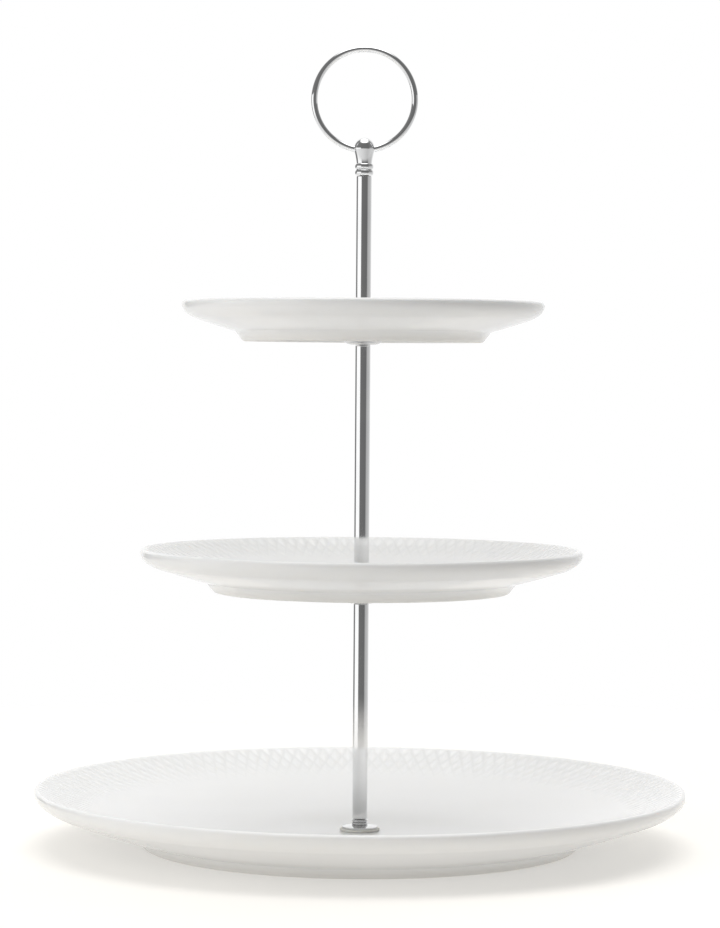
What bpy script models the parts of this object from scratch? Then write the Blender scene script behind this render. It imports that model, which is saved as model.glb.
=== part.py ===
"""Three-tier cake stand: three porcelain plates clamped on a chromed pole of screwed rods, with a carry ring.

Units are metres, +Z is up, and the origin is on the table under the pole's axis. Run it with
blender --background --python part.py, or from Blender's text editor.
"""

from math import cos, pi, sin

import bpy

MM = 0.001

# Plates: rim, height, outer foot radius, depth of the recess inside the foot ring, how steeply the inner face
# curves up, and the slope of the underside where it meets the rounded rim
BOTTOM_RIM_RADIUS = 150.0 * MM
BOTTOM_HEIGHT = 26.5 * MM
BOTTOM_FOOT_RADIUS = 101.0 * MM
BOTTOM_RECESS = 3.1 * MM
BOTTOM_STEEPNESS = 3.8
BOTTOM_RIM_SLOPE = 0.48

MIDDLE_RIM_RADIUS = 102.1 * MM
MIDDLE_HEIGHT = 19.9 * MM
MIDDLE_FOOT_RADIUS = 68.8 * MM
MIDDLE_RECESS = 2.4 * MM
MIDDLE_STEEPNESS = 4.3
MIDDLE_RIM_SLOPE = 0.45

TOP_RIM_RADIUS = 83.5 * MM
TOP_HEIGHT = 18.6 * MM
TOP_FOOT_RADIUS = 56.0 * MM
TOP_RECESS = 3.1 * MM
TOP_STEEPNESS = 4.5
TOP_RIM_SLOPE = 0.42

# Porcelain shared by the three plates
FLOOR_THICKNESS = 3.1 * MM
LIP_RADIUS = 1.7 * MM
RIM_ROUND = 6.3 * MM
RIM_ROUND_DROP = 4.0 * MM
FOOT_SLOPE = 0.33
FOOT_HEIGHT = 4.2 * MM
FOOT_FLARE = 1.8 * MM
FOOT_LAND = 2.6 * MM
FOOT_ROUND = 0.8 * MM
FOOT_INNER_RUN = 2.5 * MM
PLATE_HOLE_RADIUS = 4.0 * MM
HOLE_CHAMFER = 0.3 * MM

# Pole
ROD_RADIUS = 3.5 * MM
LOWER_ROD_LENGTH = 99.7 * MM
UPPER_ROD_LENGTH = 102.9 * MM
HANDLE_ROD_LENGTH = 64.6 * MM
ROD_CHAMFER = 0.3 * MM

# Screw thread of every joint in the pole, drawn as a plain cylinder of its outer diameter
THREAD_RADIUS = 2.0 * MM
THREAD_ENGAGEMENT = 9.1 * MM
THREAD_TIP_CHAMFER = 0.4 * MM
STUD_ANCHOR = 10.0 * MM
BORE_SPARE = 1.5 * MM

# Foot flange: a disc with a two-bead collar, under each rod
FLANGE_RADIUS = 8.2 * MM
FLANGE_EDGE = 0.8 * MM
FLANGE_DOME = 0.7 * MM
FLANGE_BEAD_RADIUS = 3.8 * MM
FLANGE_NECK_RADIUS = 3.3 * MM
FLANGE_HEIGHT = 4.0 * MM

# Support cups under the two upper plates
CUP_RADIUS = 9.0 * MM
CUP_BOWL_RISE = 2.2 * MM
CUP_FLAT_RADIUS = 4.2 * MM
CUP_WALL = 0.8 * MM
MIDDLE_CUP_HEIGHT = 6.2 * MM
TOP_CUP_HEIGHT = 3.1 * MM

# Soft gaskets on both faces of every plate
GASKET_RADIUS = 9.3 * MM
UPPER_GASKET_THICKNESS = 0.8 * MM
SPIGOT_DEPTH = 2.0 * MM
LOWER_GASKET_THICKNESS = 1.0 * MM
BASE_GASKET_THICKNESS = 0.6 * MM

# Countersunk screw and washer under the bottom plate
BASE_WASHER_RADIUS = 9.0 * MM
BASE_WASHER_THICKNESS = 1.2 * MM
SCREW_HEAD_RADIUS = 4.0 * MM
SCREW_HEAD_EDGE = 0.2 * MM
SLOT_WIDTH = 1.0 * MM
SLOT_LENGTH = 4.4 * MM
SLOT_DEPTH = 1.1 * MM

# Finial and carry ring
FINIAL_BEAD_RADIUS = 4.25 * MM
FINIAL_GROOVE_RADIUS = 3.4 * MM
FINIAL_COLLAR_HEIGHT = 5.6 * MM
FINIAL_HEAD_RADIUS = 4.8 * MM
FINIAL_FLARE_HEIGHT = 6.6 * MM
FINIAL_DOME_HEIGHT = 5.2 * MM
FINIAL_STUD_DEPTH = 7.0 * MM
RING_RADIUS = 23.1 * MM
RING_WIRE_RADIUS = 1.45 * MM
RING_DEPTH_IN_HEAD = 0.4 * MM

# Clearances
SEAT_GAP = 0.2 * MM
STUD_CLEARANCE = 0.25 * MM
THREAD_CLEARANCE = 0.15 * MM
SPIGOT_CLEARANCE = 0.25 * MM
RING_CLEARANCE = 0.25 * MM

# Facets round a turn
PLATE_SEGMENTS = 44
SMALL_SEGMENTS = 20
RING_SEGMENTS = 36
WIRE_SEGMENTS = 8

PORCELAIN = ((0.86, 0.86, 0.84), 0.12, 0.0)
CHROME = ((0.78, 0.78, 0.79), 0.08, 1.0)
STEEL = ((0.62, 0.62, 0.63), 0.35, 1.0)
SOFT_CLEAR = ((0.80, 0.80, 0.76), 0.45, 0.0)


def clear_scene():
    """Empties the file of objects, so that the script can be run again."""
    for leftover in list(bpy.data.objects):
        bpy.data.objects.remove(leftover, do_unlink=True)


def new_collection(name):
    collection = bpy.data.collections.new(name)
    bpy.context.scene.collection.children.link(collection)
    return collection


def new_material(name, finish):
    """A Principled material; finish is (colour, roughness, metallic)."""
    colour, roughness, metallic = finish
    material = bpy.data.materials.new(name)
    material.use_nodes = True
    shader = material.node_tree.nodes["Principled BSDF"]
    shader.inputs["Base Color"].default_value = (*colour, 1.0)
    shader.inputs["Roughness"].default_value = roughness
    shader.inputs["Metallic"].default_value = metallic
    return material


def move_to(collection, part):
    for home in list(part.users_collection):
        home.objects.unlink(part)
    collection.objects.link(part)


def evaluated_mesh(part, name):
    """The mesh that a part's modifiers give, as new mesh data."""
    bpy.context.view_layer.update()
    depsgraph = bpy.context.evaluated_depsgraph_get()
    mesh = bpy.data.meshes.new_from_object(part.evaluated_get(depsgraph))
    mesh.name = name
    return mesh


def shade_round(mesh):
    """Smooth shading that stays sharp at real corners."""
    mesh.shade_smooth()
    mesh.set_sharp_from_angle(angle=pi / 5)


def turned(name, profile, closed=True, segments=SMALL_SEGMENTS):
    """A turned part. The profile is (radius, height) points that run down the outer side."""
    count = len(profile)
    edges = [(i, i + 1) for i in range(count - 1)]
    if closed:
        edges.append((count - 1, 0))
    outline = bpy.data.meshes.new(name + "_outline")
    outline.from_pydata([(radius, 0.0, height) for radius, height in profile], edges, [])
    part = bpy.data.objects.new(name, outline)
    bpy.context.scene.collection.objects.link(part)
    screw = part.modifiers.new("Turn", "SCREW")
    screw.axis = "Z"
    screw.angle = 2 * pi
    screw.steps = segments
    screw.render_steps = segments
    screw.use_merge_vertices = True
    screw.merge_threshold = 0.00001
    part.data = evaluated_mesh(part, name)
    part.modifiers.clear()
    bpy.data.meshes.remove(outline)
    shade_round(part.data)
    return part


def cut(part, cutter):
    """Takes the cutter's shape out of the part; the cutter stays as a hidden guide."""
    boolean = part.modifiers.new("Cut_" + cutter.name, "BOOLEAN")
    boolean.operation = "DIFFERENCE"
    boolean.object = cutter
    cutter.hide_render = True
    cutter.display_type = "WIRE"
    move_to(CUTTERS, cutter)


def add_part(part, finish, body, height):
    """Puts a part in the stand's collection, hangs it on its body's empty and gives it its material."""
    move_to(STAND, part)
    part.data.materials.clear()
    part.data.materials.append(new_material(part.name + "_finish", finish))
    part.parent = body
    part.location = (0.0, 0.0, height - body["height"])
    return part


def new_body(name, height, parent=None):
    """An empty on the pole's axis that carries the parts which move together."""
    body = bpy.data.objects.new(name + "_body", None)
    STAND.objects.link(body)
    body["height"] = height
    body.empty_display_size = 10 * MM
    if parent is not None:
        body.parent = parent
        height -= parent["height"]
    body.location = (0.0, 0.0, height)
    return body


def quarter_curve(start, corner, end, steps):
    """Points of the quadratic curve from start to end that is pulled towards corner, without its start."""
    points = []
    for i in range(1, steps + 1):
        t = i / steps
        u = 1 - t
        points.append(
            tuple(u * u * a + 2 * u * t * b + t * t * c for a, b, c in zip(start, corner, end))
        )
    return points


def bead(radius, neck, low, high, steps=3):
    """Points down a round bead that stands out from neck to radius between two heights, both ends included."""
    middle = (low + high) / 2
    half = (high - low) / 2
    points = []
    for i in range(steps + 1):
        angle = pi * i / steps
        points.append((neck + (radius - neck) * sin(angle), middle + half * cos(angle)))
    return points


def floor_height(recess):
    """Height of a plate's floor above its foot."""
    return recess + FLOOR_THICKNESS


def inner_curve(radius, rim_radius, height, recess, steepness):
    """Height of the plate's upper face: a flat floor that rises ever faster, as a power of the radius."""
    crest_radius = rim_radius - LIP_RADIUS
    rise = height - floor_height(recess)
    return floor_height(recess) + rise * (radius / crest_radius) ** steepness


def underside_curve(under_rim, foot_top, rim_slope):
    """The underside from the rounded rim in to the foot ring, a curve that flattens on its way in."""
    middle = (under_rim[0] + foot_top[0]) / 2
    along_rim = under_rim[1] - rim_slope * (under_rim[0] - middle)
    along_foot = foot_top[1] + FOOT_SLOPE * (middle - foot_top[0])
    return quarter_curve(under_rim, (middle, (along_rim + along_foot) / 2), foot_top, 3)


def plate_profile(rim_radius, height, foot_radius, recess, steepness, rim_slope):
    """A coupe plate: floor, rising rim with a rolled lip, sloped underside and a foot ring."""
    crest_radius = rim_radius - LIP_RADIUS
    floor = floor_height(recess)
    points = [(PLATE_HOLE_RADIUS + HOLE_CHAMFER, floor)]
    for share in (0.3, 0.5, 0.64, 0.76, 0.86, 0.94):
        radius = share * crest_radius
        points.append((radius, inner_curve(radius, rim_radius, height, recess, steepness)))
    points.append((crest_radius, height))
    lip_middle = height - LIP_RADIUS
    points.append((crest_radius + LIP_RADIUS * sin(pi / 4), lip_middle + LIP_RADIUS * cos(pi / 4)))
    tip = (rim_radius, lip_middle)
    points.append(tip)
    corner = (rim_radius, lip_middle - RIM_ROUND_DROP)
    under_rim = (rim_radius - RIM_ROUND, corner[1] - RIM_ROUND * rim_slope)
    points += quarter_curve(tip, corner, under_rim, 4)
    points += underside_curve(under_rim, (foot_radius + FOOT_FLARE, FOOT_HEIGHT), rim_slope)
    points.append((foot_radius, FOOT_ROUND))
    points.append((foot_radius - FOOT_ROUND, 0.0))
    land_end = foot_radius - FOOT_ROUND - FOOT_LAND
    points.append((land_end, 0.0))
    points.append((land_end - FOOT_ROUND, FOOT_ROUND))
    points.append((land_end - FOOT_ROUND - FOOT_INNER_RUN, recess))
    points.append((PLATE_HOLE_RADIUS + HOLE_CHAMFER, recess))
    points.append((PLATE_HOLE_RADIUS, recess + HOLE_CHAMFER))
    points.append((PLATE_HOLE_RADIUS, floor - HOLE_CHAMFER))
    return points


def make_plate(name, rim_radius, height, foot_radius, recess, steepness, rim_slope):
    profile = plate_profile(rim_radius, height, foot_radius, recess, steepness, rim_slope)
    return turned(name, profile, segments=PLATE_SEGMENTS)


def washer_profile(outer, inner, thickness):
    return [(inner, thickness), (outer, thickness), (outer, 0.0), (inner, 0.0)]


def make_upper_gasket(name):
    """A soft washer whose spigot drops into the plate's hole and centres the stud in it."""
    spigot = PLATE_HOLE_RADIUS - SPIGOT_CLEARANCE
    bore = THREAD_RADIUS + STUD_CLEARANCE
    profile = [
        (bore, UPPER_GASKET_THICKNESS),
        (GASKET_RADIUS, UPPER_GASKET_THICKNESS),
        (GASKET_RADIUS, 0.0),
        (spigot, 0.0),
        (spigot, -SPIGOT_DEPTH),
        (bore, -SPIGOT_DEPTH),
    ]
    return turned(name, profile)


def make_lower_gasket(name, thickness):
    return turned(name, washer_profile(GASKET_RADIUS, PLATE_HOLE_RADIUS, thickness))


def make_foot_flange(name):
    """The disc that a rod stands on, with a collar of two beads."""
    bore = THREAD_RADIUS + STUD_CLEARANCE
    dome_top = FLANGE_EDGE + FLANGE_DOME
    bead_middle = (dome_top + FLANGE_HEIGHT) / 2
    profile = [(bore, FLANGE_HEIGHT)]
    profile += bead(FLANGE_BEAD_RADIUS, FLANGE_NECK_RADIUS, bead_middle, FLANGE_HEIGHT)
    profile += bead(FLANGE_BEAD_RADIUS, FLANGE_NECK_RADIUS, dome_top, bead_middle)[1:]
    profile += quarter_curve(
        (FLANGE_NECK_RADIUS, dome_top), (0.7 * FLANGE_RADIUS, dome_top), (FLANGE_RADIUS, FLANGE_EDGE), 3
    )
    profile += [(FLANGE_RADIUS, 0.0), (bore, 0.0)]
    return turned(name, profile)


def make_cup(name, height):
    """A pressed cup that opens upwards: flat centre, rounded bowl and a straight skirt."""
    bore = THREAD_RADIUS + STUD_CLEARANCE
    outside = [(CUP_RADIUS, height)]
    for i in range(5):
        angle = pi / 2 * (1 - i / 4)
        reach = CUP_RADIUS - CUP_FLAT_RADIUS
        outside.append((CUP_FLAT_RADIUS + reach * sin(angle), CUP_BOWL_RISE * (1 - cos(angle))))
    inside = [(radius - CUP_WALL, level + CUP_WALL) for radius, level in outside[1:-1]]
    inside = [(CUP_RADIUS - CUP_WALL, height)] + inside
    profile = outside + [(bore, 0.0), (bore, CUP_WALL), (CUP_FLAT_RADIUS, CUP_WALL)] + inside[::-1]
    return turned(name, profile)


def bore_depth(length_inside):
    return length_inside + BORE_SPARE


def make_rod(name, length, bottom_depth, top_depth):
    """A solid rod with a tapped blind bore in each end."""
    bore = THREAD_RADIUS + THREAD_CLEARANCE
    profile = [
        (0.0, length - top_depth),
        (bore, length - top_depth),
        (bore, length),
        (ROD_RADIUS - ROD_CHAMFER, length),
        (ROD_RADIUS, length - ROD_CHAMFER),
        (ROD_RADIUS, ROD_CHAMFER),
        (ROD_RADIUS - ROD_CHAMFER, 0.0),
        (bore, 0.0),
        (bore, bottom_depth),
        (0.0, bottom_depth),
    ]
    return turned(name, profile, closed=False)


def make_stud(name, length):
    profile = [
        (0.0, length),
        (THREAD_RADIUS - THREAD_TIP_CHAMFER, length),
        (THREAD_RADIUS, length - THREAD_TIP_CHAMFER),
        (THREAD_RADIUS, THREAD_TIP_CHAMFER),
        (THREAD_RADIUS - THREAD_TIP_CHAMFER, 0.0),
        (0.0, 0.0),
    ]
    return turned(name, profile, closed=False)


def make_base_washer(name):
    """A thick washer whose hole is countersunk at 90 degrees from below."""
    mouth = SCREW_HEAD_RADIUS + SCREW_HEAD_EDGE + SEAT_GAP
    throat = mouth - BASE_WASHER_THICKNESS
    profile = [
        (throat, BASE_WASHER_THICKNESS),
        (BASE_WASHER_RADIUS, BASE_WASHER_THICKNESS),
        (BASE_WASHER_RADIUS, 0.0),
        (mouth, 0.0),
    ]
    return turned(name, profile)


def make_base_screw(name, length):
    """A countersunk machine screw that stands on its head, with a cross recess."""
    cone_top = SCREW_HEAD_EDGE + SCREW_HEAD_RADIUS - THREAD_RADIUS
    profile = [
        (0.0, length),
        (THREAD_RADIUS - THREAD_TIP_CHAMFER, length),
        (THREAD_RADIUS, length - THREAD_TIP_CHAMFER),
        (THREAD_RADIUS, cone_top),
        (SCREW_HEAD_RADIUS, SCREW_HEAD_EDGE),
        (SCREW_HEAD_RADIUS, 0.0),
        (0.0, 0.0),
    ]
    screw = turned(name, profile, closed=False)
    for i, sides in enumerate(((SLOT_LENGTH, SLOT_WIDTH), (SLOT_WIDTH, SLOT_LENGTH))):
        bpy.ops.mesh.primitive_cube_add(size=1.0, location=(0.0, 0.0, 0.0))
        slot = bpy.context.object
        slot.name = f"screw_slot_cutter_{i + 1}"
        slot.dimensions = (*sides, 2 * SLOT_DEPTH)
        slot.parent = screw
        cut(screw, slot)
    return screw


def ring_centre_height():
    """Height of the ring's centre above the finial's foot."""
    widest = FINIAL_COLLAR_HEIGHT + FINIAL_FLARE_HEIGHT
    return widest - RING_DEPTH_IN_HEAD + RING_RADIUS


def make_finial(name):
    """A turned finial: two beads, a flared head with a domed top, and a blind bore from below."""
    bore = THREAD_RADIUS + THREAD_CLEARANCE
    widest = FINIAL_COLLAR_HEIGHT + FINIAL_FLARE_HEIGHT
    bead_middle = FINIAL_COLLAR_HEIGHT / 2
    profile = []
    for i in range(5):
        angle = pi / 2 * i / 4
        profile.append((FINIAL_HEAD_RADIUS * sin(angle), widest + FINIAL_DOME_HEIGHT * cos(angle)))
    profile += quarter_curve(
        (FINIAL_HEAD_RADIUS, widest),
        (ROD_RADIUS, widest - FINIAL_FLARE_HEIGHT / 3),
        (ROD_RADIUS, FINIAL_COLLAR_HEIGHT),
        3,
    )
    profile += bead(FINIAL_BEAD_RADIUS, FINIAL_GROOVE_RADIUS, bead_middle, FINIAL_COLLAR_HEIGHT)
    profile += bead(FINIAL_BEAD_RADIUS, FINIAL_GROOVE_RADIUS, 0.0, bead_middle)[1:]
    depth = FINIAL_STUD_DEPTH + BORE_SPARE
    profile += [(bore, 0.0), (bore, depth), (0.0, depth)]
    return turned(name, profile, closed=False)


def make_ring(name, wire_radius):
    """A round wire ring that stands in the XZ plane."""
    bpy.ops.mesh.primitive_torus_add(
        major_radius=RING_RADIUS,
        minor_radius=wire_radius,
        major_segments=RING_SEGMENTS,
        minor_segments=WIRE_SEGMENTS,
        rotation=(pi / 2, 0.0, 0.0),
    )
    ring = bpy.context.object
    ring.name = name
    ring.data.shade_smooth()
    return ring


def build_bottom_tier():
    """The bottom plate, the screw that holds it, and the washers on both of its faces."""
    base = new_body("base", 0.0)
    plate = make_plate(
        "bottom_plate",
        BOTTOM_RIM_RADIUS,
        BOTTOM_HEIGHT,
        BOTTOM_FOOT_RADIUS,
        BOTTOM_RECESS,
        BOTTOM_STEEPNESS,
        BOTTOM_RIM_SLOPE,
    )
    add_part(plate, PORCELAIN, base, 0.0)
    level = BOTTOM_RECESS - SEAT_GAP - BASE_GASKET_THICKNESS
    add_part(make_lower_gasket("bottom_plate_lower_gasket", BASE_GASKET_THICKNESS), SOFT_CLEAR, base, level)
    level -= SEAT_GAP + BASE_WASHER_THICKNESS
    add_part(make_base_washer("base_washer"), STEEL, base, level)
    screw_level = level
    level = floor_height(BOTTOM_RECESS) + SEAT_GAP
    add_part(make_upper_gasket("bottom_plate_upper_gasket"), SOFT_CLEAR, base, level)
    level += UPPER_GASKET_THICKNESS + SEAT_GAP
    flange_level = level
    rod_level = flange_level + FLANGE_HEIGHT + SEAT_GAP
    length = rod_level + THREAD_ENGAGEMENT - screw_level
    add_part(make_base_screw("base_screw", length), STEEL, base, screw_level)
    return base, flange_level


def build_upper_tier(plate_name, plate, recess, cup_height, rod_body, rod_top):
    """A plate on its support cup at the top of a rod, which it rides on. Gives the next foot flange's height."""
    cup_level = rod_top + SEAT_GAP
    add_part(make_cup(plate_name + "_support_cup", cup_height), CHROME, rod_body, cup_level)
    level = cup_level + cup_height + SEAT_GAP
    gasket = make_lower_gasket(plate_name + "_lower_gasket", LOWER_GASKET_THICKNESS)
    add_part(gasket, SOFT_CLEAR, rod_body, level)
    level += LOWER_GASKET_THICKNESS + SEAT_GAP
    foot_level = level - recess
    add_part(plate, PORCELAIN, rod_body, foot_level)
    level = foot_level + floor_height(recess) + SEAT_GAP
    add_part(make_upper_gasket(plate_name + "_upper_gasket"), SOFT_CLEAR, rod_body, level)
    return level + UPPER_GASKET_THICKNESS + SEAT_GAP


def build_rod(flange_name, rod_name, length, parent, flange_level, bottom_depth, top_depth):
    """A foot flange that rises with its rod, and the rod that turns on it. Gives the rod's body and top."""
    flange_body = new_body(flange_name, flange_level, parent)
    add_part(make_foot_flange(flange_name), CHROME, flange_body, flange_level)
    rod_level = flange_level + FLANGE_HEIGHT + SEAT_GAP
    rod_body = new_body(rod_name, rod_level, flange_body)
    add_part(make_rod(rod_name, length, bottom_depth, top_depth), CHROME, rod_body, rod_level)
    return rod_body, rod_level + length


def add_joint_stud(name, rod_body, rod_level, tip_level):
    """The threaded stud fixed in a rod's foot, which reaches down into the rod below."""
    length = rod_level + STUD_ANCHOR - tip_level
    add_part(make_stud(name, length), STEEL, rod_body, tip_level)


def build_finial(handle_body, rod_top):
    """The finial, the stud that joins it to the handle rod, and the ring through its cross hole."""
    level = rod_top + SEAT_GAP
    finial = add_part(make_finial("finial"), CHROME, handle_body, level)
    stud_low = rod_top - STUD_ANCHOR
    stud_high = level + FINIAL_STUD_DEPTH
    add_part(make_stud("finial_stud", stud_high - stud_low), STEEL, handle_body, stud_low)
    ring_level = level + ring_centre_height()
    ring = add_part(make_ring("carry_ring", RING_WIRE_RADIUS), CHROME, handle_body, ring_level)
    hole = make_ring("ring_hole_cutter", RING_WIRE_RADIUS + RING_CLEARANCE)
    hole.parent = handle_body
    hole.location = ring.location
    cut(finial, hole)


def build_stand():
    """The stand from the table up; each rod screws into the one below it."""
    base, flange_level = build_bottom_tier()
    engaged = bore_depth(THREAD_ENGAGEMENT)
    anchored = bore_depth(STUD_ANCHOR)
    lower_body, lower_top = build_rod(
        "lower_rod_foot_flange", "lower_rod", LOWER_ROD_LENGTH, base, flange_level, engaged, engaged
    )
    middle_plate = make_plate(
        "middle_plate",
        MIDDLE_RIM_RADIUS,
        MIDDLE_HEIGHT,
        MIDDLE_FOOT_RADIUS,
        MIDDLE_RECESS,
        MIDDLE_STEEPNESS,
        MIDDLE_RIM_SLOPE,
    )
    flange_level = build_upper_tier(
        "middle_plate", middle_plate, MIDDLE_RECESS, MIDDLE_CUP_HEIGHT, lower_body, lower_top
    )
    upper_body, upper_top = build_rod(
        "upper_rod_foot_flange", "upper_rod", UPPER_ROD_LENGTH, lower_body, flange_level, anchored, engaged
    )
    upper_level = upper_top - UPPER_ROD_LENGTH
    add_joint_stud("upper_rod_stud", upper_body, upper_level, lower_top - THREAD_ENGAGEMENT)
    top_plate = make_plate(
        "top_plate",
        TOP_RIM_RADIUS,
        TOP_HEIGHT,
        TOP_FOOT_RADIUS,
        TOP_RECESS,
        TOP_STEEPNESS,
        TOP_RIM_SLOPE,
    )
    flange_level = build_upper_tier(
        "top_plate", top_plate, TOP_RECESS, TOP_CUP_HEIGHT, upper_body, upper_top
    )
    handle_body, handle_top = build_rod(
        "handle_foot_flange", "handle_rod", HANDLE_ROD_LENGTH, upper_body, flange_level, anchored, anchored
    )
    handle_level = handle_top - HANDLE_ROD_LENGTH
    add_joint_stud("handle_stud", handle_body, handle_level, upper_top - THREAD_ENGAGEMENT)
    build_finial(handle_body, handle_top)


clear_scene()
STAND = new_collection("tiered_cake_stand")
CUTTERS = new_collection("cutters")
build_stand()
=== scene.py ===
# %% [markdown]
# # Three-tier cake stand
# Three white porcelain plates are clamped on a slim chromed pole, and a wire ring on top lifts the
# stand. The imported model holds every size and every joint. This file gives each of its pieces a
# finer surface and a real finish, and sets the stand on a pale floor in soft light. Lengths are in
# metres.

import bmesh
import bpy
import numpy as np
from mathutils import Matrix, Vector


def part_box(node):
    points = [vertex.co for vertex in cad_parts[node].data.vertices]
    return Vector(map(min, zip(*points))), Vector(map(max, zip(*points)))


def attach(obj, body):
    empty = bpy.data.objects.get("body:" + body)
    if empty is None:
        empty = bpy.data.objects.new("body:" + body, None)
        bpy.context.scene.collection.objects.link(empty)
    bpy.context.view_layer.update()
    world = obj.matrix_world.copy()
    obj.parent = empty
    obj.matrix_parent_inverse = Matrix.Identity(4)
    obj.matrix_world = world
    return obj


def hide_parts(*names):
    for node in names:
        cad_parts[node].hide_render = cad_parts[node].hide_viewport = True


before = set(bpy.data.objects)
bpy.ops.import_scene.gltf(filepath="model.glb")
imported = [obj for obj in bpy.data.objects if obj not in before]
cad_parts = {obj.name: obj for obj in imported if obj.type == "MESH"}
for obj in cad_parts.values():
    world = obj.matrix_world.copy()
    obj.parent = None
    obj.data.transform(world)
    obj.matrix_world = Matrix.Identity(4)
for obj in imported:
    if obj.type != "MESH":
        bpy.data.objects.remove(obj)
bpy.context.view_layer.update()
MM = 0.001
TAU = 2 * np.pi


# %% [markdown]
# ## Turned pieces
# Almost everything on this stand is turned: a profile carried round the pole. It could be a Screw
# modifier on a drawn line, but a grid worked out with numpy gives full control over every row, and
# the relief on the plates needs that. A grid has a column for each step round the turn and a row
# for each point of the profile.

# %% Grid helpers
def grid_faces(index, closed):
    """Quads between neighbouring points of an index grid.

    Its columns run round a full turn, so the last one meets the first. Its rows run along the
    profile, which comes back to its start if it is closed. A profile that runs down the outer side
    gives faces that point outwards."""
    below = np.roll(index, -1, axis=1) if closed else index[:, 1:]
    here = index if closed else index[:, :-1]
    beside, beside_below = np.roll(here, -1, axis=0), np.roll(below, -1, axis=0)
    return np.stack([here, below, beside_below, beside], axis=-1).reshape(-1, 4)


def put_mesh(name, points, faces, crease=35.0):
    """Makes an object from points and faces, closes its poles and shades it smooth.

    Edges that turn by more than the crease angle, in degrees, stay sharp."""
    mesh = bpy.data.meshes.new(name)
    mesh.from_pydata(points.tolist(), [], faces)
    draft = bmesh.new()
    draft.from_mesh(mesh)
    bmesh.ops.remove_doubles(draft, verts=draft.verts, dist=1e-7)
    draft.to_mesh(mesh)
    draft.free()
    mesh.shade_smooth()
    mesh.set_sharp_from_angle(angle=np.radians(crease))
    piece = bpy.data.objects.new(name, mesh)
    bpy.context.scene.collection.objects.link(piece)
    return piece


def carried_round(radius, height, columns):
    """Points of a profile carried round the Z axis.

    Column i is at the turn 2 pi i / columns: x = radius cos turn, y = radius sin turn, z = height.
    Radius and height are one row of values, or a whole grid of them."""
    turn = (TAU * np.arange(columns) / columns)[:, None]
    radius, height = np.broadcast_arrays(radius, height + 0.0 * turn)
    return np.stack([radius * np.cos(turn), radius * np.sin(turn), height], axis=-1)


def turned(name, profile, columns=96, closed=True):
    """A turned piece from (radius, height) points that run down its outer side."""
    profile = np.asarray(profile, float)
    points = carried_round(profile[None, :, 0], profile[None, :, 1], columns)
    index = np.arange(columns * len(profile)).reshape(columns, -1)
    return put_mesh(name, points.reshape(-1, 3), grid_faces(index, closed).tolist())


def finish_piece(piece, node, body, material):
    """Gives a piece its finish, hangs it on its body and hides its CAD node."""
    piece.data.materials.append(material)
    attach(piece, body)
    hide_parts(node)
    print(f"{piece.name}: {len(piece.data.polygons)} faces, on {body}")


# %% [markdown]
# ## Edges and beads
# Real edges are never sharp. A Bevel modifier could soften them, but on a turned piece it is
# simpler to soften the profile before it is carried round. Each corner is swapped for a short
# curve, and a point just outside each curve keeps the flat next to it flat when it is shaded
# smooth.

# %% Profile helpers
def curve(start, corner, end, steps=8):
    """Quadratic curve from start to end, pulled towards corner: (1-t)^2 a + 2t(1-t) c + t^2 b."""
    t = np.linspace(0.0, 1.0, steps + 1)[:, None]
    start, corner, end = (np.asarray(p, float) for p in (start, corner, end))
    return (1 - t) ** 2 * start + 2 * t * (1 - t) * corner + t**2 * end


LONGEST_ROUNDING = 0.3
SUPPORT = 1.5


def rounded(corners, radius, closed=True, steps=4):
    """A profile with a quadratic curve at each corner, from one radius before it to one after it.

    On a short side the curve takes no more than a fixed share of the side's length. An open
    profile keeps its two end points."""
    corners = np.asarray(corners, float)
    before = np.roll(corners, 1, axis=0) - corners
    after = np.roll(corners, -1, axis=0) - corners
    lengths = [np.linalg.norm(side, axis=1)[:, None] for side in (before, after)]
    reach = np.minimum(radius, LONGEST_ROUNDING * np.minimum(*lengths))
    before, after = before / lengths[0], after / lengths[1]
    t = np.linspace(0.0, 1.0, steps + 1)[None, :, None]
    start, end = corners + before * reach, corners + after * reach
    arc = (1 - t) ** 2 * start[:, None] + 2 * t * (1 - t) * corners[:, None] + t**2 * end[:, None]
    support_before = (corners + SUPPORT * before * reach)[:, None]
    support_after = (corners + SUPPORT * after * reach)[:, None]
    soft = np.concatenate([support_before, arc, support_after], axis=1)
    if closed:
        return soft.reshape(-1, 2)
    return np.vstack([corners[:1], soft[1:-1].reshape(-1, 2), corners[-1:]])


def bead(radius, neck, low, high, steps=14):
    """Points down a round bead.

    Radius = neck + (radius - neck) sin a, height = middle + half cos a, with a from 0 to pi."""
    angle = np.linspace(0.0, np.pi, steps + 1)
    middle, half = (low + high) / 2, (high - low) / 2
    across, up = neck + (radius - neck) * np.sin(angle), middle + half * np.cos(angle)
    return np.stack([across, up], axis=-1)


def smooth_step(x):
    """0 below 0, 1 above 1, and 3x^2 - 2x^3 between."""
    x = np.clip(x, 0.0, 1.0)
    return x * x * (3 - 2 * x)


# %% [markdown]
# ## Finishes
# Every finish is a Principled shader whose colour, roughness and bump come from noise on Object
# coordinates, so it stays put on its piece in any pose. The nodes could be placed by hand in the
# shader editor. A small helper that adds and links each kind of node keeps the recipes short.

# %% Node helpers
def new_finish(name):
    """A material with its nodes, its Principled shader and its Object coordinates."""
    material = bpy.data.materials.new(name)
    material.use_nodes = True
    tree = material.node_tree
    shader = tree.nodes["Principled BSDF"]
    place = tree.nodes.new("ShaderNodeTexCoord").outputs["Object"]
    print("finish:", name)
    return material, tree, shader, place


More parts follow.
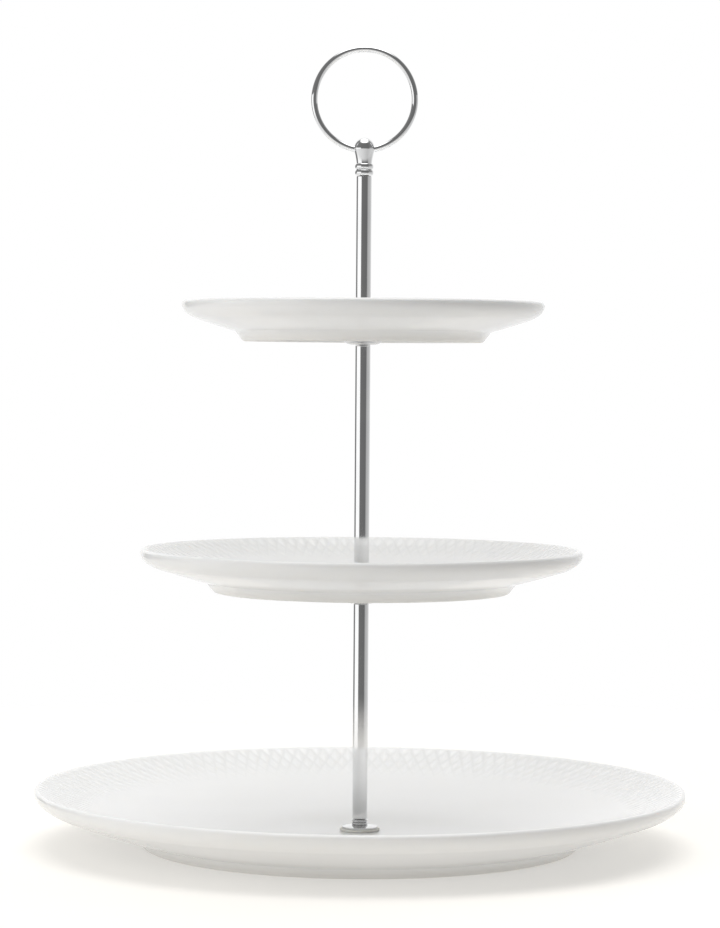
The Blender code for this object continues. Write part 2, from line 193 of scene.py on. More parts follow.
def noise(tree, place, scale, detail=3.0, stretch=(1, 1, 1)):
    """Noise from 0 to 1; stretch squeezes it along each axis."""
    mapping = tree.nodes.new("ShaderNodeMapping")
    mapping.inputs["Scale"].default_value = stretch
    texture = tree.nodes.new("ShaderNodeTexNoise")
    texture.inputs["Scale"].default_value = scale
    texture.inputs["Detail"].default_value = detail
    tree.links.new(place, mapping.inputs["Vector"])
    tree.links.new(mapping.outputs["Vector"], texture.inputs["Vector"])
    return texture.outputs["Fac"]


def between(tree, value, low, high, start=0.3, end=0.7):
    """A number that goes from low to high as value goes from start to end."""
    span = tree.nodes.new("ShaderNodeMapRange")
    sockets = ("From Min", "From Max", "To Min", "To Max")
    for socket, number in zip(sockets, (start, end, low, high)):
        span.inputs[socket].default_value = number
    tree.links.new(value, span.inputs["Value"])
    return span.outputs["Result"]


def tint(tree, value, first, second):
    """A colour that goes from first to second as value goes from 0 to 1; either may be a socket."""
    mix = tree.nodes.new("ShaderNodeMix")
    mix.data_type = "RGBA"
    tree.links.new(value, mix.inputs["Factor"])
    for socket, colour in (("A", first), ("B", second)):
        slot = [s for s in mix.inputs if s.name == socket and s.type == "RGBA"][0]
        if isinstance(colour, tuple):
            slot.default_value = (*colour, 1.0)
        else:
            tree.links.new(colour, slot)
    return [s for s in mix.outputs if s.type == "RGBA"][0]


def bump(tree, heights, shader):
    """Chains bump nodes, each (height, strength, distance in metres), into the shader's normal."""
    last = None
    for height, strength, distance in heights:
        node = tree.nodes.new("ShaderNodeBump")
        node.inputs["Strength"].default_value = strength
        node.inputs["Distance"].default_value = distance
        tree.links.new(height, node.inputs["Height"])
        if last is not None:
            tree.links.new(last, node.inputs["Normal"])
        last = node.outputs["Normal"]
    tree.links.new(last, shader.inputs["Normal"])


def own(tree, name):
    """The piece's own painted value of that name."""
    node = tree.nodes.new("ShaderNodeAttribute")
    node.attribute_name = name
    return node.outputs["Fac"]


# %% [markdown]
# Porcelain is a white body under a clear gloss glaze. The glaze is slightly uneven, which wobbles
# the reflections. The grooves of the relief get a slightly darker colour, which is painted shade.
# The foot ring stands bare in the kiln, so it is dull, and its darker, warmer colour is partly the
# bare clay's own tone and partly painted shade and warm bounce light. A clear coat over a dull body
# could make the glaze, but one glossy layer with a little subsurface light looks the same and is
# simpler.
# The two values painted on each plate, "groove" and "bare", say where each part of the recipe goes.

# %% Porcelain
GLAZE_WHITES = (0.812, 0.812, 0.803), (0.836, 0.837, 0.832)
# The groove colour is painted shade: the grooves of the relief are darkened where shade falls.
GROOVE_SHADE = (0.765, 0.767, 0.758)
SPECK = (0.62, 0.59, 0.54)
# The bare foot colour is darker and warmer than the glaze: partly the clay's own tone, partly
# painted shade and warm bounce light.
BARE_CLAY_AND_SHADE = (0.66, 0.61, 0.53), (0.74, 0.70, 0.62)
GLAZE_ROUGHNESS, CLAY_ROUGHNESS = (0.04, 0.08), 0.8
PORCELAIN_SCATTER = (2.4 * MM, 2.2 * MM, 1.9 * MM)
RIPPLE_DEPTH, PORCELAIN_GRAIN_DEPTH = 0.08 * MM, 0.01 * MM


def porcelain():
    """White glazed porcelain: rare specks, painted shade in the grooves, a bare dull foot with
    partly painted shade.
    """
    material, tree, shader, place = new_finish("glazed_porcelain")
    body = tint(tree, between(tree, noise(tree, place, 9.0), 0.0, 1.0), *GLAZE_WHITES)
    # Painted shade: the grooves are tinted darker by their painted groove value.
    groove_shaded = tint(tree, own(tree, "groove"), body, GROOVE_SHADE)
    # The bare foot tint is partly painted shade and warm bounce light.
    clay_and_shade = tint(tree, noise(tree, place, 420.0, 4.0), *BARE_CLAY_AND_SHADE)
    specks = between(tree, noise(tree, place, 1500.0, 1.0), 0.0, 0.35, 0.72, 0.8)
    glazed = tint(tree, specks, groove_shaded, SPECK)
    tree.links.new(tint(tree, own(tree, "bare"), glazed, clay_and_shade), shader.inputs["Base Color"])
    rough = tree.nodes.new("ShaderNodeMix")
    tree.links.new(own(tree, "bare"), rough.inputs["Factor"])
    gloss = between(tree, noise(tree, place, 26.0), *GLAZE_ROUGHNESS)
    tree.links.new(gloss, rough.inputs["A"])
    rough.inputs["B"].default_value = CLAY_ROUGHNESS
    tree.links.new(rough.outputs["Result"], shader.inputs["Roughness"])
    shader.inputs["IOR"].default_value = 1.52
    shader.inputs["Subsurface Weight"].default_value = 0.12
    shader.inputs["Subsurface Radius"].default_value = PORCELAIN_SCATTER
    shader.inputs["Subsurface Scale"].default_value = 1.0
    ripple, grain = noise(tree, place, 38.0, 2.0), noise(tree, place, 1900.0, 2.0)
    bump(tree, [(ripple, 0.25, RIPPLE_DEPTH), (grain, 0.08, PORCELAIN_GRAIN_DEPTH)], shader)
    return material


PORCELAIN = porcelain()


# %% [markdown]
# Chrome plate on polished steel mirrors the room. A plain mirror would look drawn, so very little is
# added: fine polishing lines round the turned pieces, faint finger haze, and a bluish white colour.
# The pressed cups are less polished, and the zinc of the screws is duller still. One recipe with
# other numbers makes them all.

# %% Metals
def metal(name, colours, haze, lines, line_depth):
    """A bare metal.

    Haze is its lowest and highest roughness, and lines how much the polishing lines are squeezed
    along each axis."""
    material, tree, shader, place = new_finish(name)
    cloud = between(tree, noise(tree, place, 60.0), 0.0, 1.0)
    tree.links.new(tint(tree, cloud, *colours), shader.inputs["Base Color"])
    polish = noise(tree, place, 55.0, 5.0, lines)
    smears = between(tree, noise(tree, place, 140.0, 4.0), *haze)
    tree.links.new(smears, shader.inputs["Roughness"])
    shader.inputs["Metallic"].default_value = 1.0
    bump(tree, [(polish, 0.5, line_depth)], shader)
    return material


CHROME_COLOURS = (0.79, 0.795, 0.80), (0.85, 0.852, 0.855)
SATIN_COLOURS = (0.60, 0.60, 0.605), (0.67, 0.67, 0.675)
ZINC_COLOURS = (0.52, 0.53, 0.55), (0.66, 0.655, 0.63)
CHROME = metal("bright_chrome", CHROME_COLOURS, (0.035, 0.09), (1, 1, 40), 0.002 * MM)
CHROME_WIRE = metal("bright_chrome_wire", CHROME_COLOURS, (0.03, 0.08), (9, 9, 9), 0.002 * MM)
SATIN_CHROME = metal("satin_chrome", SATIN_COLOURS, (0.16, 0.26), (1, 1, 25), 0.003 * MM)
STEEL = metal("zinc_steel", ZINC_COLOURS, (0.24, 0.42), (3, 3, 60), 0.01 * MM)


# %% [markdown]
# The washers are a soft, milky plastic. Light goes a little way in and comes out again. Real
# transmission would need many more samples for pieces this small, so subsurface light does it, over
# a dull pale body with faint clouds.

# %% Washer plastic
MILKY_COLOURS = (0.76, 0.74, 0.68), (0.84, 0.83, 0.79)
PLASTIC_SCATTER = (1.2 * MM, 1.1 * MM, 0.9 * MM)
PLASTIC_GRAIN_DEPTH = 0.01 * MM


def milky_plastic():
    """A dull, pale plastic that light sinks a millimetre into."""
    material, tree, shader, place = new_finish("milky_washer")
    cloud = between(tree, noise(tree, place, 240.0), 0.0, 1.0)
    tree.links.new(tint(tree, cloud, *MILKY_COLOURS), shader.inputs["Base Color"])
    dull = between(tree, noise(tree, place, 900.0), 0.32, 0.5)
    tree.links.new(dull, shader.inputs["Roughness"])
    shader.inputs["IOR"].default_value = 1.45
    shader.inputs["Subsurface Weight"].default_value = 0.5
    shader.inputs["Subsurface Radius"].default_value = PLASTIC_SCATTER
    shader.inputs["Subsurface Scale"].default_value = 1.0
    bump(tree, [(noise(tree, place, 2600.0, 2.0), 0.25, PLASTIC_GRAIN_DEPTH)], shader)
    return material


WASHER = milky_plastic()


# %% [markdown]
# ## Plates
# All three plates share one design in three sizes: a flat floor that curves up ever faster to a
# rolled lip, a sloped underside and a foot ring. Just inside the lip runs a band of raised lozenges
# in staggered rows, and each row is lower than the one outside it. A plate could be a turned mesh
# with the lozenges as a Displace modifier on top. Here one formula gives every point, so the relief
# keeps its crisp grooves.
#
# Each plate's table row gives the body it rides on, the radius of its foot ring, the recess under
# its floor, how steeply its face curves up, the slope of its underside at the rim, the number of
# lozenges round it, the rows of lozenges in one unit of log radius, and the radius of the row in the
# middle of the band.

# %% Plate sizes
PLATES = {
    "bottom_plate": dict(
        body="base", foot_radius=101.0 * MM, recess=3.1 * MM, steepness=3.8, rim_slope=0.48,
        count=144, rows=10.8, middle_radius=134.4 * MM,
    ),
    "middle_plate": dict(
        body="lower_rod", foot_radius=68.8 * MM, recess=2.4 * MM, steepness=4.3, rim_slope=0.45,
        count=114, rows=8.6, middle_radius=91.5 * MM,
    ),
    "top_plate": dict(
        body="upper_rod", foot_radius=56.0 * MM, recess=3.1 * MM, steepness=4.5, rim_slope=0.42,
        count=96, rows=7.2, middle_radius=74.5 * MM,
    ),
}
for plate_name, sizes in PLATES.items():
    width = TAU * sizes["middle_radius"] / sizes["count"]
    print(f"{plate_name}: {sizes['count']} lozenges, each {width / MM:.1f} mm wide")


# %% [markdown]
# The relief is a formula on two slanted coordinates. Each goes up by one when it crosses from one
# lozenge to the next, and one leans left while the other leans right, so their whole numbers draw
# the grooves. Sculpting hundreds of lozenges by hand would never be this even. The logarithm of the
# radius keeps each lozenge's shape as the rows close up towards the middle.

# %% Relief
LOZENGE_HEIGHT = 0.34 * MM
PILLOW_EDGE, GROOVE_EDGE = 0.42, 0.25
ROWS_FROM_LIP, ROW_WEIGHTS = (-2, -1, 0, 1), (0.0, 0.5, 0.85, 1.0)


def relief(turn, radius, count, rows, middle_radius):
    """Height and groove depth of the relief, both from 0 to 1.

    p = count turn / 2 pi + rows ln(radius / middle), and q is the same with a minus. The height is
    a soft step of p's distance to the nearest whole number times the same of q's. The rows further
    from the lip are lower."""
    around = count * turn / TAU
    inwards = rows * np.log(radius / middle_radius)
    p, q = around + inwards, around - inwards
    weight = np.interp(np.floor(p) - np.floor(q), ROWS_FROM_LIP, ROW_WEIGHTS)
    edge_p, edge_q = 0.5 - np.abs(p % 1 - 0.5), 0.5 - np.abs(q % 1 - 0.5)
    pillow = smooth_step(edge_p / PILLOW_EDGE) * smooth_step(edge_q / PILLOW_EDGE)
    groove = weight * (1 - smooth_step(np.minimum(edge_p, edge_q) / GROOVE_EDGE))
    return weight * pillow, groove


def face_height(radius, floor, top, crest_radius, steepness):
    """Height of a plate's upper face: floor + (top - floor) (radius / crest radius) ^ steepness."""
    return floor + (top - floor) * (radius / crest_radius) ** steepness


# %% [markdown]
# The section of a plate is drawn once and carried round. It starts on the crest of the lip, rolls
# over the rim, follows the long underside to the foot ring, crosses the land that the plate stands
# on, and comes up through the hole to the floor. Curves through a few corners are enough, because a
# potter's profile tool has only such soft bends.

# %% Plate section
FLOOR_THICKNESS = 3.1 * MM
LIP_RADIUS = 1.7 * MM
RIM_ROUND, RIM_ROUND_DROP = 6.3 * MM, 4.0 * MM
FOOT_SLOPE, FOOT_HEIGHT, FOOT_FLARE = 0.33, 4.2 * MM, 1.8 * MM
FOOT_LAND, FOOT_ROUND, FOOT_INNER_RUN = 2.6 * MM, 0.8 * MM, 2.5 * MM
FOOT_SOFTNESS = 0.7 * MM
HOLE_RADIUS = 4.0 * MM
FLOOR_LIFT = 0.001 * MM


def rim_outline(rim_radius, top, rim_slope):
    """The outer half of the rolled lip, and the rim below it down to the underside."""
    lip_middle = top - LIP_RADIUS
    angle = np.linspace(0.0, np.pi / 2, 11)
    across = rim_radius - LIP_RADIUS + LIP_RADIUS * np.sin(angle)
    lip = np.stack([across, lip_middle + LIP_RADIUS * np.cos(angle)], axis=-1)
    rim_corner = (rim_radius, lip_middle - RIM_ROUND_DROP)
    under_rim = (rim_radius - RIM_ROUND, rim_corner[1] - RIM_ROUND * rim_slope)
    rim = curve((rim_radius, lip_middle), rim_corner, under_rim, 14)
    return np.vstack([lip[1:], rim[1:]])


def foot_outline(foot_level, foot_radius, recess, crest):
    """The foot ring, its land, the recess under the floor, the hole, and the floor beside it."""
    land_end = foot_radius - FOOT_ROUND - FOOT_LAND
    floor = foot_level + recess + FLOOR_THICKNESS
    corners = [
        (foot_radius + FOOT_FLARE, foot_level + FOOT_HEIGHT),
        (foot_radius, foot_level + FOOT_ROUND),
        (foot_radius - FOOT_ROUND, foot_level),
        (land_end, foot_level),
        (land_end - FOOT_ROUND, foot_level + FOOT_ROUND),
        (land_end - FOOT_ROUND - FOOT_INNER_RUN, foot_level + recess),
        (0.5 * foot_radius, foot_level + recess),
        (HOLE_RADIUS, foot_level + recess),
        (HOLE_RADIUS, floor),
        (0.3 * crest, floor + FLOOR_LIFT),
    ]
    return rounded(corners, FOOT_SOFTNESS, closed=False, steps=5)[1:-1]


def plate_outline(foot_level, rim_radius, top, foot_radius, recess, rim_slope):
    """The plate's section from the lip's crest over the rim and the underside to the floor's hole.

    The underside leaves the rim at the rim's slope and meets the foot at the foot's slope."""
    rim = rim_outline(rim_radius, top, rim_slope)
    under_rim = rim[-1]
    foot_top = (foot_radius + FOOT_FLARE, foot_level + FOOT_HEIGHT)
    middle = (under_rim[0] + foot_top[0]) / 2
    along_rim = under_rim[1] - rim_slope * (under_rim[0] - middle)
    along_foot = foot_top[1] + FOOT_SLOPE * (middle - foot_top[0])
    underside = curve(under_rim, (middle, (along_rim + along_foot) / 2), foot_top, 20)
    foot = foot_outline(foot_level, foot_radius, recess, rim_radius - LIP_RADIUS)
    return np.vstack([rim, underside[1:-1], foot])


# %% [markdown]
# The band needs many fine columns and the rest of the plate doesn't. So the plate is two grids, a
# fine one for the band and a coarse one that goes over the lip, under the plate and back along the
# floor. A strip of many-sided faces joins them, so that the plate is one closed surface. A single
# fine grid would look the same and have many more faces.

# %% Band and seams
COLUMNS_PER_LOZENGE = 8
FINE_PER_COARSE = 4
BAND_INSET = 0.4 * MM
HALF_ROWS_INSIDE = 2.1
RELIEF_FADE_END, RELIEF_FADE = 0.2 * MM, 1.3 * MM


def band_rings(crest, rows, middle_radius):
    """Radii of the band's rings, evenly spaced in log radius, and the radius where the relief ends.

    Ring i of n is at (crest - inset) e^((i - n) / k), with k rings in one unit of log radius."""
    rings_per_unit = 2 * COLUMNS_PER_LOZENGE * rows
    inner_edge = middle_radius * np.exp(-HALF_ROWS_INSIDE / (2 * rows))
    outer_edge = crest - BAND_INSET
    steps = int(np.ceil(rings_per_unit * np.log(outer_edge / inner_edge)))
    return outer_edge * np.exp((np.arange(steps + 1) - steps) / rings_per_unit), inner_edge


def fan_faces(coarse, fine, coarse_first):
    """Faces between a coarse ring and a fine one with several points for each coarse point."""
    each = len(fine) // len(coarse)
    picked = (np.arange(len(coarse))[:, None] * each + np.arange(each + 1)) % len(fine)
    fine, beside = fine[picked], np.roll(coarse, -1)
    if coarse_first:
        return np.column_stack([coarse, fine, beside])
    return np.column_stack([fine[:, :1], coarse, beside, fine[:, :0:-1]])


def paint(piece, name, values):
    """Stores one number for each point of a piece, for its finish to read."""
    layer = piece.data.attributes.new(name, "FLOAT", "POINT")
    layer.data.foreach_set("value", values.astype(np.float32))


# %% [markdown]
# Now each plate is put together. The floor has a very shallow ring where the well begins, and the
# relief fades out just before the lip. Where the grooves get their painted shade and where the glaze
# is missing could be found from the shape by the shader, but painted values are exact: they are 1 in
# the grooves and on the bare land of the foot, and small on the side of the foot, where the glaze
# thins out and the foot gets a little painted shade.

# %% Whole plates
FLOOR_START, FLOOR_STOP, FLOOR_RINGS = 2.0 * MM, 0.5 * MM, 34
WELL_RING_PLACE, WELL_RING_WIDTH, WELL_RING_DEPTH = 0.95, 1.6 * MM, 0.10 * MM
# The share of the bare tint on the foot's outer side is partly thin glaze and partly painted shade.
LAND_TOP, THIN_GLAZE_TOP, THIN_GLAZE_AND_SHADE = 0.05 * MM, 3.6 * MM, 0.25


def bare_clay_and_shade(section, foot_level, foot_radius):
    """How bare each point of the section is, which also sets the foot's painted shade: 1 on the
    land, a little on the foot's outer side.
    """
    radius, height = section.T
    on_land = height < foot_level + LAND_TOP
    on_foot = (height < foot_level + THIN_GLAZE_TOP) & (radius > foot_radius - FOOT_ROUND)
    return np.where(on_land, 1.0, THIN_GLAZE_AND_SHADE * on_foot)


def make_plate(name, body, foot_radius, recess, steepness, rim_slope, count, rows, middle_radius):
    """A whole plate. Its place, rim radius and height come from the CAD node."""
    low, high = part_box(name)
    rim_radius, top = high.x, high.z
    crest = rim_radius - LIP_RADIUS
    face = (low.z + recess + FLOOR_THICKNESS, top, crest, steepness)

    fine_columns = count * COLUMNS_PER_LOZENGE
    rings, inner_edge = band_rings(crest, rows, middle_radius)
    turn = (TAU * np.arange(fine_columns) / fine_columns)[:, None]
    raised, groove = relief(turn, rings[None, :], count, rows, middle_radius)
    at_lip = smooth_step((crest - RELIEF_FADE_END - rings) / RELIEF_FADE)
    raised, groove = raised * at_lip, groove * at_lip
    band = carried_round(rings, face_height(rings, *face) + LOZENGE_HEIGHT * raised, fine_columns)

    floor = np.linspace(HOLE_RADIUS + FLOOR_START, rings[0] - FLOOR_STOP, FLOOR_RINGS)
    well_ring = np.exp(-(((floor - WELL_RING_PLACE * inner_edge) / WELL_RING_WIDTH) ** 2))
    floor_height = face_height(floor, *face) - WELL_RING_DEPTH * well_ring
    outline = plate_outline(low.z, rim_radius, top, foot_radius, recess, rim_slope)
    section = np.vstack([[(crest, top)], outline, np.column_stack([floor, floor_height])])
    coarse_columns = fine_columns // FINE_PER_COARSE
    rest = carried_round(section[None, :, 0], section[None, :, 1], coarse_columns)

    band_index = np.arange(band[..., 0].size).reshape(band.shape[:2])
    rest_index = band_index.size + np.arange(rest[..., 0].size).reshape(rest.shape[:2])
    faces = grid_faces(band_index, False).tolist() + grid_faces(rest_index, False).tolist()
    faces += fan_faces(rest_index[:, -1], band_index[:, 0], True).tolist()
    faces += fan_faces(rest_index[:, 0], band_index[:, -1], False).tolist()
    points = np.vstack([band.reshape(-1, 3), rest.reshape(-1, 3)])
    plate = put_mesh(name + "_porcelain", points, faces, 50.0)
    bare = np.broadcast_to(bare_clay_and_shade(section, low.z, foot_radius), rest.shape[:2])
    paint(plate, "groove", np.concatenate([groove.ravel(), np.zeros(rest_index.size)]))
    paint(plate, "bare", np.concatenate([np.zeros(band_index.size), bare.ravel()]))
    finish_piece(plate, name, body, PORCELAIN)


for plate_name, sizes in PLATES.items():
    make_plate(plate_name, **sizes)

# %% [markdown]
# ## Pole
# The pole is three rods of solid chromed steel, each with a tapped hole in both ends. Cylinders with
# a Bevel and a Boolean would do for them. A profile that goes up one bore, over the end, down the
# side and into the other bore is one closed surface and needs neither.

# %% Rods
ROD_BORE, BORE_DEPTH, ROD_EDGE = 2.15 * MM, 10.6 * MM, 0.35 * MM


def make_rod(node, body):
    """A rod with rounded ends and a blind hole in each."""
    low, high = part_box(node)
    radius = high.x
    corners = [
        (0.0, high.z - BORE_DEPTH),
        (ROD_BORE, high.z - BORE_DEPTH),
        (ROD_BORE, high.z),
        (radius, high.z),
        (radius, low.z),
        (ROD_BORE, low.z),
        (ROD_BORE, low.z + BORE_DEPTH),
        (0.0, low.z + BORE_DEPTH),
    ]
    rod = turned(node + "_chrome", rounded(corners, ROD_EDGE, closed=False), closed=False)
    finish_piece(rod, node, body, CHROME)


make_rod("lower_rod", "lower_rod")
make_rod("upper_rod", "upper_rod")
make_rod("handle_rod", "handle")

# %% [markdown]
# Each rod stands on a foot flange, a thin disc with a short collar of two beads, which spreads the
# clamping force over the plate. It is lifted by its rod but doesn't turn with it, so it rides on a
# body of its own. Its profile strings together two beads, a low dome and a flat underside.

# %% Foot flanges
FLANGE_BORE = 2.25 * MM
FLANGE_EDGE, FLANGE_DOME, FLANGE_ROUND = 0.8 * MM, 0.7 * MM, 0.2 * MM
FLANGE_BEAD, FLANGE_NECK = 3.8 * MM, 3.3 * MM
DOME_SHOULDER = 0.7


def make_flange(node, body):
    """A disc with a low dome and a collar of two beads."""
    low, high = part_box(node)
    radius = high.x
    dome_top = low.z + FLANGE_EDGE + FLANGE_DOME
    waist = (dome_top + high.z) / 2
    dome_edge = (radius, low.z + FLANGE_EDGE)
    dome = curve((FLANGE_NECK, dome_top), (DOME_SHOULDER * radius, dome_top), dome_edge, 14)
    corners = [dome_edge, (radius, low.z), (FLANGE_BORE, low.z), (FLANGE_BORE, high.z)]
    foot = rounded(corners, FLANGE_ROUND, closed=False)
    upper_bead = bead(FLANGE_BEAD, FLANGE_NECK, waist, high.z)
    lower_bead = bead(FLANGE_BEAD, FLANGE_NECK, dome_top, waist)
    profile = np.vstack([upper_bead, lower_bead[1:], dome[1:], foot[1:]])
    finish_piece(turned(node + "_chrome", profile), node, body, CHROME)


make_flange("lower_rod_foot_flange", "lower_flange")
make_flange("upper_rod_foot_flange", "upper_flange")
make_flange("handle_foot_flange", "handle_flange")

# %% [markdown]
# A cup of pressed sheet steel carries each of the two upper plates. Sheet could be a surface with a
# Solidify modifier. The profile here has both sides of the sheet, so that the bottom can be thinned
# to a flat with a hole and the rim can be rounded over.

# %% Support cups
CUP_BOWL_RISE, CUP_FLAT, CUP_WALL = 2.2 * MM, 4.2 * MM, 0.8 * MM
CUP_ROUND, CUP_RIM_DROP, CUP_RIM_SHARE = 0.15 * MM, 0.15 * MM, 0.3


def make_cup(node, body):
    """A pressed cup whose outer side is a quarter of an ellipse from the skirt in to the flat."""
    low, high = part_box(node)
    radius = high.x
    angle = np.linspace(np.pi / 2, 0.0, 19)
    across = CUP_FLAT + (radius - CUP_FLAT) * np.sin(angle)
    outside = np.stack([across, low.z + CUP_BOWL_RISE * (1 - np.cos(angle))], axis=-1)
    inside = outside[::-1] + np.array([-CUP_WALL, CUP_WALL])
    flat = [
        (CUP_FLAT, low.z),
        (FLANGE_BORE, low.z),
        (FLANGE_BORE, low.z + CUP_WALL),
        (CUP_FLAT - CUP_WALL, low.z + CUP_WALL),
    ]
    rim = [
        (radius - CUP_WALL, high.z - CUP_RIM_DROP),
        (radius - (1 - CUP_RIM_SHARE) * CUP_WALL, high.z),
        (radius - CUP_RIM_SHARE * CUP_WALL, high.z),
        (radius, high.z - CUP_RIM_DROP),
    ]
    bottom = rounded(flat, CUP_ROUND, closed=False)[1:-1]
    cup = turned(node + "_chrome", np.vstack([outside, bottom, inside[1:-1], rim]))
    finish_piece(cup, node, body, SATIN_CHROME)


make_cup("middle_plate_support_cup", "lower_rod")
make_cup("top_plate_support_cup", "upper_rod")

# %% [markdown]
# ## Washers
# Soft washers keep metal off both faces of each plate. A soft washer is squeezed until it touches
# both sides, so these are a little thicker than their CAD solids and close the gaps in the stack.
# Their bulging edge could be simulated, but one curve in the profile shows it. The upper ones have
# a spigot that drops into the plate's hole and keeps the screw in its middle.

# %% Washers
SQUEEZE = 0.14 * MM
UPPER_WASHER_THICKNESS = 0.8 * MM
SPIGOT_RADIUS = 3.75 * MM
WASHER_EDGE, WASHER_BULGE, WASHER_ROUND = 0.25 * MM, 0.12 * MM, 0.12 * MM


def make_washer(node, body, bore, spigot_level=None):
    """A washer whose rim bulges a little, with a spigot if it has a spigot level."""
    low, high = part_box(node)
    radius = high.x
    under = low.z if spigot_level is None else spigot_level
    top, under = high.z + SQUEEZE, under - SQUEEZE
    edge, furthest = radius - WASHER_EDGE, radius + WASHER_BULGE
    bulge = curve((edge, top), (furthest, (top + under) / 2), (edge, under), 10)
    if spigot_level is None:
        back = [(bore, under), (bore, top)]
    else:
        back = [(SPIGOT_RADIUS, under), (SPIGOT_RADIUS, low.z), (bore, low.z), (bore, top)]
    inner = rounded([bulge[-1], *back, bulge[0]], WASHER_ROUND, closed=False)[1:-1]
    washer = turned(node + "_plastic", np.vstack([bulge, inner]), columns=72)
    finish_piece(washer, node, body, WASHER)


PLATE_BODIES = {name: sizes["body"] for name, sizes in PLATES.items()}
for plate_name, body in PLATE_BODIES.items():
    node = plate_name + "_upper_gasket"
    make_washer(node, body, FLANGE_BORE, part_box(node)[1].z - UPPER_WASHER_THICKNESS)
for plate_name, body in PLATE_BODIES.items():
    make_washer(plate_name + "_lower_gasket", body, HOLE_RADIUS)

# %% [markdown]
# ## Screws
# The rods are joined by 4 mm threads of 0.7 mm pitch. When a rod is turned and rises, its thread
# shows, so it has to be real. A Screw modifier can cut one, but its ends are hard to close. Here the
# radius goes up and down once for each pitch, and the ridge climbs as it goes round.

# %% Threads
PITCH, THREAD_DEPTH = 0.7 * MM, 0.4 * MM
ROWS_PER_PITCH = 8
RIDGE_WIDTH, RIDGE_FLANK = 1.25, 3.0


def thread_rows(low, high, crest, columns=48):
    """Radius and height of a threaded shank with tapered tips.

    The radius is the crest less the depth times a flattened wave of height / pitch - turn / 2 pi,
    and it is never more than the root radius plus the distance from the nearer tip."""
    count = int((high - low) / PITCH * ROWS_PER_PITCH)
    height = np.linspace(high, low, count + 1)[None, :]
    turn = (TAU * np.arange(columns) / columns)[:, None]
    phase = (height / PITCH - turn / TAU) % 1.0
    ridge = np.clip(RIDGE_WIDTH - RIDGE_FLANK * np.abs(phase - 0.5), 0.0, 1.0)
    tip = np.minimum(high - height, height - low)
    radius = np.minimum(crest - THREAD_DEPTH * (1 - ridge), crest - THREAD_DEPTH + tip)
    return radius, np.broadcast_to(height, radius.shape)


def closed_shank(name, radius, height):
    """A closed surface from grids of radius and height, capped on the axis at both ends."""
    columns = len(radius)
    radius = np.column_stack([np.zeros(columns), radius, np.zeros(columns)])
    height = np.column_stack([height[:, :1], height, height[:, -1:]])
    points = carried_round(radius, height, columns)
    index = np.arange(radius.size).reshape(radius.shape)
    return put_mesh(name, points.reshape(-1, 3), grid_faces(index, False).tolist())


STUD_BODIES = {"upper_rod_stud": "upper_rod", "handle_stud": "handle", "finial_stud": "handle"}
for node, body in STUD_BODIES.items():
    low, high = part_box(node)
    stud = closed_shank(node + "_steel", *thread_rows(low.z, high.z, high.x))
    finish_piece(stud, node, body, STEEL)

# %% [markdown]
# The screw under the bottom plate has a flat countersunk head with a cross recess. The recess could
# be cut with a Boolean. Instead the head is the last rows of the shank's own grid: a cone out to the
# edge, then rings in to the axis that are pushed up inside the cross, so nothing has to be joined.

# %% Base screw
HEAD_RADIUS, HEAD_EDGE = 4.0 * MM, 0.2 * MM
HEAD_CONE_BEND = 0.2 * MM
HEAD_RIM, HEAD_MIDDLE = 0.08 * MM, 0.02 * MM
CROSS_LENGTH, CROSS_WIDTH, CROSS_DEPTH = 4.4 * MM, 1.0 * MM, 1.1 * MM
CROSS_SIDE, CROSS_END = 0.25 * MM, 0.3 * MM
SHANK_RADIUS = 2.0 * MM
SCREW_COLUMNS = 96


def cross_arm(along, across):
    """1 inside one arm of the cross, 0 outside, and a smooth step over its sides and ends."""
    sides = smooth_step((CROSS_WIDTH / 2 - across) / CROSS_SIDE)
    return sides * smooth_step((CROSS_LENGTH / 2 - along) / CROSS_END)


def head_rows(low, shank_radius, columns):
    """Radius and height of the head: a 45 degree cone, its edge, and a face with a cross sunk in."""
    cone_top = low + HEAD_EDGE + HEAD_RADIUS - shank_radius
    bend = (shank_radius + HEAD_CONE_BEND, cone_top - HEAD_CONE_BEND)
    cone = curve((shank_radius, cone_top), bend, (HEAD_RADIUS, low + HEAD_EDGE), 6)
    rings = np.linspace(HEAD_RADIUS - HEAD_RIM, HEAD_MIDDLE, 34)
    turn = (TAU * np.arange(columns) / columns)[:, None]
    x, y = np.abs(rings * np.cos(turn)), np.abs(rings * np.sin(turn))
    face = low + CROSS_DEPTH * np.maximum(cross_arm(x, y), cross_arm(y, x))
    cone_radius = np.broadcast_to(cone[:, 0], (columns, len(cone)))
    cone_height = np.broadcast_to(cone[:, 1], (columns, len(cone)))
    radius = np.hstack([cone_radius, np.broadcast_to(rings, x.shape)])
    return radius, np.hstack([cone_height, face]), cone_top


low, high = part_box("base_screw")
head = head_rows(low.z, SHANK_RADIUS - THREAD_DEPTH, SCREW_COLUMNS)
shank = thread_rows(head[2], high.z, SHANK_RADIUS, SCREW_COLUMNS)
screw = closed_shank("base_screw_steel", *(np.hstack(pair) for pair in zip(shank, head)))
finish_piece(screw, "base_screw", "base", STEEL)

# %% [markdown]
# The screw's head sinks into a countersunk steel washer under the plate, which spreads its pull. It
# has a square section with one slanted side, so four softened corners carried round make it.

# %% Base washer
MOUTH_GAP, SEAT_ROUND = 0.2 * MM, 0.15 * MM
low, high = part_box("base_washer")
mouth = HEAD_RADIUS + HEAD_EDGE + MOUTH_GAP
seat = [(mouth - (high.z - low.z), high.z), (high.x, high.z), (high.x, low.z), (mouth, low.z)]
base_washer = turned("base_washer_steel", rounded(seat, SEAT_ROUND))
finish_piece(base_washer, "base_washer", "base", STEEL)

# %% [markdown]
# ## Ring
# The carry ring is round wire bent into a hoop. Blender has a torus for this, but a formula keeps
# its rows in known places and makes the slightly thicker ring that drills the finial as well. Its
# sizes come from the CAD box: the wire is as thick as the box is deep.

